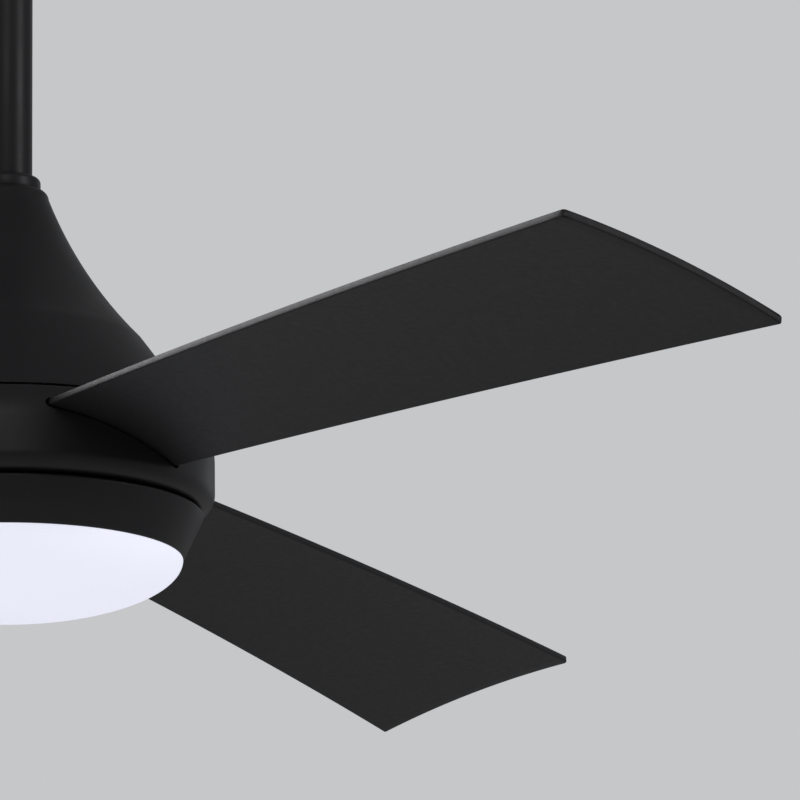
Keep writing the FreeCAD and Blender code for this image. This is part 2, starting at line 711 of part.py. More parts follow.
def make_stator():
    low = hub_z + S.stator_bottom
    body = new_body("stator_core")
    hub = sketch_on(body, "XZ_Plane", "Hub")
    outline(hub, tube_path(S.shaft_radius + S.fit_gap, S.stator_hub, low, low + S.stator_height))
    turn_about_z(body, hub)
    tooth = sketch_on(body, "XY_Plane", "Tooth", at=(0, 0, low))
    half_tooth = S.tooth_width / 2
    half_shoe = S.shoe_width / 2
    neck = S.tooth_end - S.shoe_depth
    outline(tooth, [(S.stator_hub - 1, -half_tooth), (neck, -half_tooth), (neck, -half_shoe),
                    (S.tooth_end, -half_shoe), (S.tooth_end, half_shoe), (neck, half_shoe),
                    (neck, half_tooth), (S.stator_hub - 1, half_tooth)])
    ring_of(body, pad(body, tooth, S.stator_height), TEETH)
    coils = []
    length = S.coil_end - S.coil_start
    inner_half = half_tooth + S.coil_play
    for angle in around(TEETH):
        shells = []
        for half, margin in ((inner_half + S.coil_side, S.coil_play + S.coil_side),
                             (inner_half, S.coil_play)):
            side = Size(0, "0") - half
            block = box(length, 2 * half, S.stator_height + 2 * margin, (0, 0, 0))
            turn = math.radians(angle)
            at = (S.coil_start * math.cos(turn) - side * math.sin(turn),
                  S.coil_start * math.sin(turn) + side * math.cos(turn), low - margin)
            shells.append(place(block, at, ((0, 0, 1), angle)))
        coils.append(cut(*shells))
    group("stator_windings", coils)


def make_rotor_ring():
    turned("rotor_ring", tube_path(S.ring_inner, S.ring_inner + S.ring_wall, ring_low, ring_high))
    height = S.ring_height - 2 * S.magnet_margin
    low = ring_low + S.magnet_margin
    magnets = []
    for angle in around(MAGNETS):
        spin = ((0, 0, 1), angle)
        wedge = cylinder(S.ring_inner - S.fit_gap, height, (0, 0, low), spin, S.magnet_angle)
        magnets.append(cut(wedge, cylinder(S.magnet_inner, height, (0, 0, low))))
    group("rotor_magnets", magnets)


def make_bells():
    bore = S.bearing_outer + S.fit_gap
    hub = bore + S.bell_hub_wall
    lip = bore - 2 * S.circlip_groove - 1
    rim = S.ring_inner
    upper_disc = upper_bell_top - S.bell_sheet
    bearing_low = bearing_levels["upper"]
    lip_top = upper_bell_top + S.lip_depth
    upper = turned("upper_bell", [
        (bore, bearing_low), (hub, bearing_low), (hub, upper_disc), (rim, upper_disc),
        (rim, ring_high), (S.bell_radius, ring_high), (S.bell_radius, upper_bell_top),
        (hub, upper_bell_top), (hub, lip_top), (lip, lip_top), (lip, upper_bell_top),
        (bore, upper_bell_top)])
    bearing_top = bearing_levels["lower"] + S.bearing_width
    lower_disc = lower_bell_low + S.bell_sheet
    lip_top = bearing_top + S.lip_depth
    lower = turned("lower_bell", [
        (bore, lower_bell_low), (S.bell_radius, lower_bell_low), (S.bell_radius, ring_low),
        (rim, ring_low), (rim, lower_disc), (hub, lower_disc), (hub, lip_top), (lip, lip_top),
        (lip, bearing_top), (bore, bearing_top)])
    for body, low, height in ((upper, ring_high, S.bell_rim + S.bell_sheet),
                              (lower, lower_bell_low, S.bell_rim + S.bell_sheet)):
        hole_ring(body, S.bell_screw_circle, S.screw_radius + S.fit_gap, BELL_SCREWS, low, height)
    hole_ring(lower, S.carrier_screw_circle, S.screw_radius + S.fit_gap, CARRIER_SCREWS,
              lower_bell_low, S.bell_sheet)
    length = upper_bell_top - lower_bell_low - S.bell_sheet / 2
    screw_ring("bell_screws", S.bell_screw_circle, upper_bell_top, length, BELL_SCREWS, False)


# ---- rotor parts that carry the blades --------------------------------------------------

flange_high = lower_bell_low
outer_high = flange_high - S.carrier_drop
outer_low = outer_high - S.carrier_sheet


def blade_angles():
    return around(BLADES, FIRST_BLADE)


def blade_station(share):
    """Radius, lead, level, chord and pitch of the blade at a share of its length."""

    def between(first, last):
        return first + (last - first) * share

    radius = between(S.blade_root, S.blade_tip + S.tip_corner)
    lead = between(S.blade_lead_root, S.blade_lead_tip) - S.blade_bow * (4 * share * (1 - share))
    level = hub_z + S.blade_level - S.blade_droop * share
    chord = between(S.blade_chord_root, S.blade_chord_tip)
    pitch = between(S.blade_pitch_root, S.blade_pitch_tip)
    return radius, lead, level, chord, pitch


def blade_section(body, chord, camber, thickness, bend, radius, lead, level, pitch):
    """A thin cambered strip with bowed edges, across the blade at a radius."""
    sketch = sketch_on(body, "YZ_Plane", "Section", at=(lead, level, radius),
                       turn=((0, 0, 1), -pitch))
    rim = thickness / 2
    half = chord / 2 - bend + root(bend * bend - rim * rim)
    middle_bend = (half * half + camber * camber) / (2 * camber)
    sine_end = half / middle_bend
    cosine_end = root(1 - sine_end * sine_end)
    outer_x, outer_y = half + rim * sine_end, rim * cosine_end
    inner_x, inner_y = half - rim * sine_end, -rim * cosine_end
    outline(sketch, [(inner_x, inner_y), (outer_x, outer_y, bend, True),
                     (-outer_x, outer_y, middle_bend + rim, True),
                     (-inner_x, inner_y, bend, True),
                     (inner_x, inner_y, middle_bend - rim, False)][1:])
    return sketch


def turn_blade_part(body, angle):
    body.Placement = FreeCAD.Placement(FreeCAD.Vector(), FreeCAD.Rotation(angle, 0, 0))


def screw_offsets():
    return [(step - 1) * S.blade_screw_pitch for step in range(BLADE_SCREWS)]


def drill_blade_screws(body, radius):
    _, lead, level, _, pitch = blade_station(0)
    holes = sketch_on(body, "XY_Plane", "ScrewHoles", at=(0, lead, level),
                      turn=((1, 0, 0), -pitch))
    for offset in screw_offsets():
        round_hole(holes, S.blade_screw_station, offset, radius)
    pocket(body, holes)


def make_blade(number, angle):
    body = new_body(f"blade_{number}")
    sections = []
    for step in range(STATIONS):
        radius, lead, level, chord, pitch = blade_station(step / (STATIONS - 1))
        camber = chord * S.blade_camber
        sections.append(blade_section(body, chord, camber, S.blade_thickness,
                                      S.blade_edge_bend, radius, lead, level, pitch))
    loft = body.newObject("PartDesign::AdditiveLoft", "Loft")
    loft.Profile = sections[0]
    loft.Sections = sections[1:]
    drill_blade_screws(body, S.screw_radius + S.hole_gap)
    tip = sketch_on(body, "XY_Plane", "Tip", at=(0, 0, hub_z))
    corner = S.tip_corner
    share = (S.blade_tip - S.blade_root - corner) / (S.blade_tip - S.blade_root + corner)
    _, lead, _, chord, _ = blade_station(share)
    half = chord / 2 * cosine(S.blade_pitch_tip)
    front, back = lead - half, lead + half
    front_edge = S.blade_tip - front * front / (2 * S.blade_tip)
    back_edge = front_edge - S.tip_skew
    past = S.blade_tip + S.blade_chord_tip
    outline(tip, [(past, back + corner), (back_edge - corner, back + corner),
                  (back_edge - corner, back), (back_edge, back - corner, corner, False),
                  (front_edge, front + corner), (front_edge - corner, front, corner, False),
                  (front_edge - corner, front - corner), (past, front - corner)])
    pocket(body, tip)
    turn_blade_part(body, angle)


def make_blade_bracket(number, angle):
    body = new_body(f"blade_bracket_{number}")
    _, lead, level, _, pitch = blade_station(0)
    slope = sine(pitch) / cosine(pitch)
    drop = (S.blade_thickness / 2 + S.sheet_gap) / cosine(pitch)
    front = lead - S.bracket_front
    back = lead + S.bracket_back
    side = sketch_on(body, "YZ_Plane", "Side", at=(0, 0, S.bracket_root))
    outline(side, [(front, outer_high), (back, outer_high),
                   (back, level - drop - slope * S.bracket_back),
                   (front, level - drop + slope * S.bracket_front)])
    pad(body, side, S.bracket_foot)
    drill_blade_screws(body, S.screw_radius + S.fit_gap)
    foot_holes = sketch_on(body, "XY_Plane", "FootHoles", at=(0, 0, outer_high))
    for hand in (-1, 1):
        round_hole(foot_holes, S.blade_screw_station, hand * S.blade_screw_pitch / 2,
                   S.screw_radius + S.fit_gap)
    pocket(body, foot_holes, S.screw_head * 2, reverse=True)
    turn_blade_part(body, angle)


def make_blade_screws():
    _, lead, level, _, pitch = blade_station(0)
    made = []
    length = S.blade_thickness + S.screw_head * 2
    tilt = FreeCAD.Rotation(FreeCAD.Vector(1, 0, 0), -pitch.value)
    for angle in blade_angles():
        turn = FreeCAD.Rotation(angle, 0, 0)
        for offset in screw_offsets():
            rise = S.blade_thickness / 2 + S.blade_camber * S.blade_chord_root + S.hole_gap
            tall = [(S.screw_radius, -length, length), (S.screw_head_radius, Size(0, "0"), S.screw_head)]
            rounds = []
            for radius, start, height in tall:
                across = (lead.value, level.value)
                local = FreeCAD.Vector(S.blade_screw_station.value, offset.value,
                                       (rise + start).value)
                at = tilt.multVec(FreeCAD.Vector(0, local.y, local.z))
                at = FreeCAD.Vector(local.x, at.y + across[0], at.z + across[1])
                obj = cylinder(radius, height, (0, 0, 0))
                obj.Placement = FreeCAD.Placement(turn.multVec(at), turn.multiply(tilt))
                rounds.append(obj)
            made.append(fuse(*rounds))
    group("blade_screws", made)


def make_carrier():
    fall = S.carrier_drop / 2
    inner_high = flange_high - S.carrier_sheet
    body = turned("blade_carrier", [
        (S.carrier_inner, inner_high), (S.carrier_step - S.carrier_sheet, inner_high),
        (S.carrier_step - S.carrier_sheet + fall, outer_low), (S.carrier_radius, outer_low),
        (S.carrier_radius, outer_high), (S.carrier_step + fall, outer_high),
        (S.carrier_step, flange_high), (S.carrier_inner, flange_high)])
    hole_ring(body, S.carrier_screw_circle, S.screw_radius + S.hole_gap, CARRIER_SCREWS,
              inner_high, S.carrier_sheet)
    length = S.carrier_sheet + S.bell_sheet * S.thread_share
    screw_ring("carrier_screws", S.carrier_screw_circle, inner_high, length, CARRIER_SCREWS)
    foot_length = S.carrier_sheet + S.screw_head * 1.8
    made = []
    for angle in blade_angles():
        for hand in (-1, 1):
            across = hand * S.blade_screw_pitch / 2
            turn = math.radians(angle)
            x = S.blade_screw_station * math.cos(turn) - across * math.sin(turn)
            y = S.blade_screw_station * math.sin(turn) + across * math.cos(turn)
            made.append(screw((x, y, outer_low), foot_length, True))
    group("bracket_screws", made)
    reach = root(S.blade_screw_station * S.blade_screw_station
                 + S.blade_screw_pitch * S.blade_screw_pitch / 4)
    swing = math.degrees(math.atan2(S.blade_screw_pitch.value / 2, S.blade_screw_station.value))
    for hand in (-1, 1):
        holes = sketch_on(body, "XY_Plane", "FootHoles", at=(0, 0, outer_low))
        round_hole(holes, *on_circle(reach, FIRST_BLADE + hand * swing),
                   S.screw_radius + S.hole_gap)
        ring_of(body, pocket(body, holes, S.carrier_sheet, reverse=True), BLADES)


def make_blade_band():
    wall = S.band_wall
    top_z = hub_z + S.band_top
    shoulder_z = hub_z + S.band_shoulder
    turn_z = hub_z + S.band_turn
    low = hub_z + S.band_bottom
    inner = S.band_radius - wall
    foot = S.band_foot_bend
    body = turned("blade_band", [
        (S.band_flange_inner, outer_low), (S.band_flange_inner, low),
        (S.band_bottom_radius, low), (S.band_radius, turn_z, S.band_turn_bend, True),
        (S.band_radius, shoulder_z), (S.band_top_radius, top_z, S.band_shoulder_bend, True),
        (S.band_top_radius - wall, top_z),
        (inner, shoulder_z, S.band_shoulder_bend - wall, False),
        (inner, outer_low + foot), (inner - foot, outer_low, foot, False)])
    share = (S.band_radius - S.blade_root) / (S.blade_tip + S.tip_corner - S.blade_root)
    _, lead, level, chord, pitch = blade_station(share)
    tall = S.blade_thickness + 2 * S.slot_clearance
    slot = blade_section(body, chord + 2 * S.slot_end, chord * S.blade_camber, tall, tall / 2,
                         S.band_radius + S.slot_overcut, lead, level, pitch)
    slots = ring_of(body, pocket(body, slot, S.slot_reach), BLADES)
    slots.Label = "Slots"
    turn_blade_part(body, FIRST_BLADE)


# ---- light kit ------------------------------------------------------------------------

light_plate_top = hub_z + S.light_ring_top - S.light_ring_flange
light_plate_low = light_plate_top - S.light_plate_sheet
lens_rim_z = hub_z + S.lens_rim
light_ring_mouth = S.lens_radius + S.lens_play
ring_wall_slope = ((S.light_ring_inner - light_ring_mouth + S.light_ring_wall)
                   / (light_plate_top - lens_rim_z))
light_plate_radius = (S.light_ring_inner - S.light_plate_sheet * ring_wall_slope
                      - S.light_plate_play)
ring_screw_circle = light_plate_radius - S.ring_screw_inset


def make_light_plate():
    body = turned("light_plate", tube_path(S.shaft_radius + S.hole_gap, light_plate_radius,
                                           light_plate_low, light_plate_top))
    hole_ring(body, ring_screw_circle, S.screw_radius + S.hole_gap, PLATE_SCREWS,
              light_plate_low, S.light_plate_sheet)
    hole_ring(body, S.led_screw_circle, S.screw_radius + S.fit_gap, STANDOFFS,
              light_plate_low, S.light_plate_sheet)
    nuts = []
    for low in (light_plate_top, light_plate_low - S.nut_height):
        outer = doc.addObject("Part::Prism", "Nut")
        outer.Polygon = 6
        bind(outer, "Circumradius", S.nut_radius)
        bind(outer, "Height", S.nut_height)
        place(outer, (0, 0, low))
        bore = cylinder(S.shaft_radius + S.fit_gap, S.nut_height, (0, 0, low))
        nuts.append(cut(outer, bore))
    group("shaft_nuts", nuts)
    length = S.light_plate_sheet + S.light_ring_flange * S.thread_share
    screw_ring("ring_screws", ring_screw_circle, light_plate_low, length, PLATE_SCREWS)


def make_light_ring():
    top = hub_z + S.light_ring_top
    edge = S.light_ring_edge
    wall = S.light_ring_wall
    rim = light_ring_mouth
    body = turned("light_ring", [
        (S.light_ring_bore, light_plate_top), (S.light_ring_inner, light_plate_top),
        (rim - wall, lens_rim_z), (rim, lens_rim_z), (S.light_ring_radius, top - edge),
        (S.light_ring_radius - edge, top, edge, True), (S.light_ring_bore, top)])
    hole_ring(body, ring_screw_circle, S.screw_radius + S.fit_gap, PLATE_SCREWS,
              light_plate_top, S.light_ring_flange)


def make_lens():
    shoulder = lens_rim_z - S.lens_play
    neck_outer = S.lens_radius - S.lens_neck_inset
    neck_inner = neck_outer - S.lens_wall
    domes = []
    for depth, radius in ((S.lens_depth, S.lens_radius), (S.lens_depth - S.lens_wall, neck_inner)):
        dome = doc.addObject("Part::Ellipsoid", "Dome")
        bind(dome, "Radius1", depth)
        bind(dome, "Radius2", radius)
        bind(dome, "Radius3", radius)
        dome.Angle1 = -90
        dome.Angle2 = 0
        domes.append(place(dome, (0, 0, shoulder)))
    bowl = cut(*domes)
    neck = cut(cylinder(neck_outer, S.lens_neck, (0, 0, shoulder)),
               cylinder(neck_inner, S.lens_neck, (0, 0, shoulder)))
    node(fuse(bowl, neck), "lens")


def make_led_light():
    board_low = hub_z + S.led_board_height
    board_top = board_low + S.led_board_sheet
    body = turned("led_board", tube_path(S.led_board_hole, S.led_board_radius,
                                         board_low, board_top))
    hole_ring(body, S.led_screw_circle, S.screw_radius + S.hole_gap, STANDOFFS,
              board_low, S.led_board_sheet)
    posts = []
    for angle in around(STANDOFFS):
        at = (*on_circle(S.led_screw_circle, angle), board_top)
        height = light_plate_low - board_top
        posts.append(cut(cylinder(S.led_standoff_radius, height, at),
                         cylinder(S.screw_radius + S.fit_gap, height, at)))
    group("led_standoffs", posts)
    length = light_plate_top - board_low - S.fit_gap
    screw_ring("led_screws", S.led_screw_circle, board_low, length, STANDOFFS)
    chips = []
    rings = ((S.led_inner_circle, LED_CHIPS_INNER), (S.led_outer_circle, LED_CHIPS_OUTER))
    for circle_radius, count in rings:
        for angle in around(count):
            x, y = on_circle(circle_radius, angle)
            at = (x - S.led_chip / 2, y - S.led_chip / 2, board_low - S.led_chip_height)
            chips.append(box(S.led_chip, S.led_chip, S.led_chip_height, at))
    group("led_chips", chips)
    at = (S.driver_offset, -S.driver_length / 2, light_plate_low - S.driver_height)
    node(box(S.driver_width, S.driver_length, S.driver_height, at), "led_driver")


# ---- build, check and write -------------------------------------------------------------

make_ceiling_bracket()
make_canopy()
make_canopy_screws()
make_receiver()
make_hanger_ball()
make_ball_fasteners()
make_downrod()
make_rod_collar()
make_coupling()
make_coupling_fasteners()
make_upper_shell()
make_shell_plate()
make_shaft()
make_bearings()
make_stator()
make_rotor_ring()
make_bells()
make_carrier()
make_blade_band()
for blade_number, blade_angle in enumerate(blade_angles(), start=1):
    make_blade_bracket(blade_number, blade_angle)
    make_blade(blade_number, blade_angle)
make_blade_screws()
make_light_plate()
make_light_ring()
make_lens()
make_led_light()
doc.recompute()

for item in doc.Objects:
    if "Invalid" in item.State or "Error" in item.State:
        raise RuntimeError(f"{item.Label} of type {item.TypeId} failed: {item.State}")
for piece in nodes:
    if piece.Shape.isNull() or not piece.Shape.isValid():
        raise RuntimeError(f"{piece.Label} has no valid shape")
for piece in nodes:
    piece.Shape.exportStep(f"parts/{piece.Label}.step")
    print(f"{piece.Label:22s} solids {len(piece.Shape.Solids):3d} volume {piece.Shape.Volume:11.1f}")
print(len(nodes), "nodes written")
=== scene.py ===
# %% [markdown]
# A ceiling fan with a light, seen from a little below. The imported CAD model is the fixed
# frame: it says where every piece is and how it moves. Blender adds what the eye judges,
# which is smooth turned shells, rounded blade edges, finishes and soft studio light.

# %% Load the frame
import json
import math

import bmesh
import bpy
from mathutils import Matrix, Vector

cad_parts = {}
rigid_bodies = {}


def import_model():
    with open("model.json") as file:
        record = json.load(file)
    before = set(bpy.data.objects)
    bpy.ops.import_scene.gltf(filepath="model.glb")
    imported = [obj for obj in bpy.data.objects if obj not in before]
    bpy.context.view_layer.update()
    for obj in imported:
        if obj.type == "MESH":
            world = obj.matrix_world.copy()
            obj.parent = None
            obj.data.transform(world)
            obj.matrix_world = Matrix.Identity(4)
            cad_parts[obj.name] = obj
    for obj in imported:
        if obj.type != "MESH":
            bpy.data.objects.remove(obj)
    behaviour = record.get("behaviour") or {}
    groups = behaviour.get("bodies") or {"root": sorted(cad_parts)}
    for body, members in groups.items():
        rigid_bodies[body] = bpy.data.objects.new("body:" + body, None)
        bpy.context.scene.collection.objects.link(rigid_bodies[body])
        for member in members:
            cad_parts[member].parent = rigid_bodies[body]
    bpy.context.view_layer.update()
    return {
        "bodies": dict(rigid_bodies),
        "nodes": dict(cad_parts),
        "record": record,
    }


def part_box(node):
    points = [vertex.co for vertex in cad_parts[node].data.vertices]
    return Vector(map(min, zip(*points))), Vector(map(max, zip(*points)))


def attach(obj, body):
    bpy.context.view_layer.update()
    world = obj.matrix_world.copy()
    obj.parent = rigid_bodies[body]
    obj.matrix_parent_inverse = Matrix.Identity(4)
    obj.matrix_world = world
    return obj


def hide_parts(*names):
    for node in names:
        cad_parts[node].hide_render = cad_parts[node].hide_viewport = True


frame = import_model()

print("nodes:", len(frame["nodes"]), "bodies:", ", ".join(frame["bodies"]))

# %% [markdown]
# Every size comes from the frame. The blade band is the widest turned piece, so its box gives
# the fan's axis and its hub level. Millimetres are easier to think in at this scale, so MM
# turns them into Blender's metres.

# %% Reference levels
MM = 0.001
BAND_DEPTH = 19.25


def low(node):
    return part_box(node)[0]


def high(node):
    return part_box(node)[1]


def outer_radius(node):
    """Largest distance from the fan's axis of a piece that is round about it."""
    return max(high(node).x, high(node).y)


HUB = low("blade_band").z + BAND_DEPTH * MM
print("hub level", round(HUB, 4), "band radius", round(outer_radius("blade_band"), 4))

# %% [markdown]
# The camera stands across the room, below the fan, and looks up at it through a long lens,
# so that the shells and blades keep their true proportions. Its place is given as a distance
# out from the axis, a drop below the hub and a turn round the fan; the lens is centred, with
# no shift, and everything is in focus.

# %% Camera
CAMERA_DISTANCE = 3.43411
CAMERA_DROP = 0.78714
CAMERA_AZIMUTH = math.radians(0.3202)
CAMERA_PAN = math.radians(-3.8892)
CAMERA_TILT = math.radians(13.6747)
CAMERA_ROLL = math.radians(-0.7664)
SENSOR = 36
FOCAL_LENGTH = 268.43


def make_camera():
    data = bpy.data.cameras.new("camera")
    data.sensor_width = SENSOR
    data.lens = FOCAL_LENGTH
    data.clip_end = 100
    camera = bpy.data.objects.new("camera", data)
    bpy.context.collection.objects.link(camera)
    stand = Vector((0, -CAMERA_DISTANCE, 0))
    stand.rotate(Matrix.Rotation(CAMERA_AZIMUTH, 3, "Z"))
    camera.location = stand + Vector((0, 0, HUB - CAMERA_DROP))
    heading = Matrix.Rotation(CAMERA_AZIMUTH + CAMERA_PAN, 3, "Z")
    nod = Matrix.Rotation(math.pi / 2 + CAMERA_TILT, 3, "X")
    lean = Matrix.Rotation(CAMERA_ROLL, 3, "Z")
    camera.rotation_euler = (heading @ nod @ lean).to_euler()
    bpy.context.scene.camera = camera
    return camera


camera = make_camera()
print("camera at", tuple(round(value, 3) for value in camera.location))

# %% [markdown]
# The room is only hinted at: a pale grey surround that is the same all round, and a pale
# floor well below the fan. The surround lights the fan less than it shows, as a wall behind
# a studio set does, so that the lamps draw the shapes. A sheet of a few metres is enough for
# the floor, and its edge stays out of the picture when the camera looks up.

# %% Surround and floor
FLOOR_DROP = 2.6
FLOOR_SIZE = 3.4
SURROUND = (0.565, 0.571, 0.584, 1)
FILL = 0.42


def make_surround():
    world = bpy.data.worlds.new("surround")
    world.use_nodes = True
    tree = world.node_tree
    seen = tree.nodes["Background"]
    seen.inputs["Color"].default_value = SURROUND
    lit = tree.nodes.new("ShaderNodeBackground")
    lit.inputs["Color"].default_value = SURROUND
    lit.inputs["Strength"].default_value = FILL
    rays = tree.nodes.new("ShaderNodeLightPath")
    choice = tree.nodes.new("ShaderNodeMixShader")
    tree.links.new(rays.outputs["Is Camera Ray"], choice.inputs["Fac"])
    tree.links.new(lit.outputs["Background"], choice.inputs[1])
    tree.links.new(seen.outputs["Background"], choice.inputs[2])
    tree.links.new(choice.outputs["Shader"], tree.nodes["World Output"].inputs["Surface"])
    bpy.context.scene.world = world
    bpy.context.scene.view_settings.view_transform = "Standard"


def make_floor():
    shape = bmesh.new()
    bmesh.ops.create_grid(shape, x_segments=1, y_segments=1, size=FLOOR_SIZE)
    bmesh.ops.translate(shape, verts=shape.verts, vec=(0, 0, -FLOOR_DROP))
    mesh = bpy.data.meshes.new("floor")
    shape.to_mesh(mesh)
    shape.free()
    floor = bpy.data.objects.new("floor", mesh)
    bpy.context.collection.objects.link(floor)


make_surround()
make_floor()
print("floor", FLOOR_DROP, "m below the ceiling")

# %% [markdown]
# Five soft lamps shape the black paint. One above the camera and one on the left put the
# highlights on the rod and the shell. One behind on the right lifts the outer edges of the
# housing, and the two others are placed so that the blades' long edges and tips mirror them.
# Black paint shows light by reflecting it, so a lamp's size matters more than its power.

# %% Lamps


def make_lamp(name, place, aim, size, power, tint):
    """A rectangular soft box that faces a point."""
    data = bpy.data.lights.new(name, "AREA")
    data.shape = "RECTANGLE"
    data.size, data.size_y = size
    data.energy = power
    data.color = tint
    lamp = bpy.data.objects.new(name, data)
    bpy.context.collection.objects.link(lamp)
    lamp.location = place
    way = Vector(aim) - Vector(place)
    lamp.rotation_euler = way.to_track_quat("-Z", "Y").to_euler()


HUB_POINT = (0, 0, HUB)
make_lamp("front_soft_box", (-0.1, -3.3, 0.75), HUB_POINT, (1, 1.4), 11, (1, 0.98, 1))
make_lamp("left_soft_box", (-3, -0.4, 0.6), HUB_POINT, (1.2, 1.6), 20, (0.99, 0.98, 1))
make_lamp("right_soft_box", (2.7, -1.5, 0.2), HUB_POINT, (1, 1.6), 18, (0.97, 0.97, 1))
make_lamp("left_back_soft_box", (-2.3, 1.8, 1.3), HUB_POINT, (1.8, 1.8), 54, (0.98, 0.97, 1))
make_lamp("right_back_soft_box", (2, 3, 0.4), HUB_POINT, (1.2, 1.8), 1.5, (0.9, 0.92, 1))
print("lamps:", len(bpy.data.lights))

# %% [markdown]
# Most of the housing is turned: pressed or spun from sheet on a lathe. In Blender a lathe is
# the spin operator. An outline of a few points, given as radius and height in millimetres,
# turns once round the fan's axis. A real pressing has no knife edges, so every sharp corner
# is bevelled a little, and that thin round edge is what catches the light.

# %% Lathe tools
TURN_STEPS = 192
SHARP = math.radians(28)


def arc(start, end, bend, count):
    """Points on an arc from start to end. A positive bend bows to the left of the way."""
    start, end = Vector(start), Vector(end)
    chord = end - start
    side = Vector((-chord.y, chord.x)).normalized()
    height = math.sqrt(bend * bend - chord.length_squared / 4)
    centre = (start + end) / 2 - side * math.copysign(height, bend)
    first = start - centre
    swing = 2 * math.asin(min(1, chord.length / 2 / abs(bend)))
    points = []
    for step in range(count + 1):
        turned_by = -math.copysign(swing, bend) * step / count
        spoke = Matrix.Rotation(turned_by, 2) @ first
        points.append(tuple(centre + spoke))
    return points


def soften(shape, width, segments=2):
    """Round every sharp edge of a shape."""
    sharp = [edge for edge in shape.edges
             if len(edge.link_faces) == 2 and edge.calc_face_angle() > SHARP]
    bmesh.ops.bevel(shape, geom=sharp, offset=width * MM, segments=segments, profile=0.5,
                    affect="EDGES", material=-1, clamp_overlap=True)


def settle(shape, name, body, slot, *nodes):
    """Turn a finished shape into a piece that rides on a body and stands for CAD nodes."""
    for face in shape.faces:
        face.smooth = True
    for edge in shape.edges:
        if len(edge.link_faces) == 2 and edge.calc_face_angle() > SHARP:
            edge.smooth = False
    mesh = bpy.data.meshes.new(name)
    shape.to_mesh(mesh)
    shape.free()
    piece = bpy.data.objects.new(name, mesh)
    bpy.context.collection.objects.link(piece)
    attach(piece, body)
    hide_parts(*nodes)
    print(name, "faces", len(mesh.polygons))
    return piece


def spin_outline(outline, datum, closed=True, steps=TURN_STEPS):
    """Turn an outline of (radius, height above the datum) about the fan's axis."""
    shape = bmesh.new()
    verts = [shape.verts.new((radius * MM, 0, datum + height * MM)) for radius, height in outline]
    after = verts[1:] + verts[:1] if closed else verts[1:]
    edges = [shape.edges.new(pair) for pair in zip(verts, after)]
    bmesh.ops.spin(shape, geom=verts + edges, cent=(0, 0, 0), axis=(0, 0, 1),
                   angle=math.tau, steps=steps, use_merge=True)
    bmesh.ops.remove_doubles(shape, verts=shape.verts, dist=MM / 1000)
    bmesh.ops.recalc_face_normals(shape, faces=shape.faces)
    return shape


# %% [markdown]
# The canopy is the cup that hides the ceiling bracket. It is drawn from thin sheet: a short
# straight side, a wide quarter round and a flat bottom with a hole that the rod comes through.

# %% Canopy
CEILING = high("ceiling_bracket").z
CANOPY_RADIUS = 75
CANOPY_WALL = 1.5
CANOPY_DEPTH = 66
CANOPY_GAP = 1
CANOPY_ROUND = 42
CANOPY_HOLE = 20


def make_canopy():
    inner, flat = CANOPY_RADIUS - CANOPY_WALL, CANOPY_RADIUS - CANOPY_ROUND
    side, floor = CANOPY_ROUND - CANOPY_DEPTH, CANOPY_WALL - CANOPY_DEPTH
    outline = [(inner, -CANOPY_GAP), (inner, side)]
    outline += arc((inner, side), (flat, floor), CANOPY_ROUND - CANOPY_WALL, 20)[1:]
    outline += [(CANOPY_HOLE, floor), (CANOPY_HOLE, -CANOPY_DEPTH)]
    outline += arc((flat, -CANOPY_DEPTH), (CANOPY_RADIUS, side), -CANOPY_ROUND, 20)
    outline += [(CANOPY_RADIUS, -CANOPY_GAP)]
    shape = spin_outline(outline, CEILING)
    soften(shape, 0.4)
    return settle(shape, "canopy_cup", "ceiling_mount", "black_paint", "canopy")


canopy_cup = make_canopy()

# %% [markdown]
# The rod is steel tube, powder coated like the rest. The collar is a small turned ring that
# sits on the shell and closes the gap round the rod.

# %% Rod and collar
ROD_TOP = high("downrod").z
ROD_LENGTH = 325
ROD_RADIUS = 15.3
ROD_BORE = 13
SHELL_TOP = 177
COLLAR_HEIGHT = 8
COLLAR_RADIUS = 20.3
COLLAR_BORE = 15.6
COLLAR_ROUND = 3


def make_rod():
    outline = [(ROD_BORE, 0), (ROD_RADIUS, 0), (ROD_RADIUS, -ROD_LENGTH), (ROD_BORE, -ROD_LENGTH)]
    shape = spin_outline(outline, ROD_TOP, steps=96)
    soften(shape, 0.5)
    return settle(shape, "rod_tube", "hanging_part", "black_paint", "downrod")


def make_collar():
    top = SHELL_TOP + COLLAR_HEIGHT
    edge = (COLLAR_RADIUS, top - COLLAR_ROUND)
    outline = [(COLLAR_BORE, SHELL_TOP), (COLLAR_RADIUS, SHELL_TOP), edge]
    outline += arc(edge, (COLLAR_RADIUS - COLLAR_ROUND, top), -COLLAR_ROUND, 8)[1:]
    outline += [(COLLAR_BORE, top)]
    shape = spin_outline(outline, HUB, steps=96)
    soften(shape, 0.3)
    return settle(shape, "collar_ring", "hanging_part", "black_paint", "rod_collar")


rod_tube = make_rod()
collar_ring = make_collar()

# %% [markdown]
# The upper shell is a spun trumpet: a small round shoulder under the collar, a long hollow
# curve out to a soft crease, then a fuller curve down to the rim. Its wall is thin, so the
# inside follows the outside.

# %% Upper shell
SHELL_WALL = 1.8
SHELL_BORE = 15.9
SHELL_EDGE = 20.6
SHOULDER = (25.2, 171.8)
CREASE = (81, 84)
RIM = (116.9, 31.9)
INNER_SHOULDER = (23.4, 170)
INNER_CREASE = (79.73, 82.73)
INNER_RIM = (114.74, 31.9)
SHOULDER_BEND = 5.5
TRUMPET_BEND = 260
SKIRT_BEND = 900


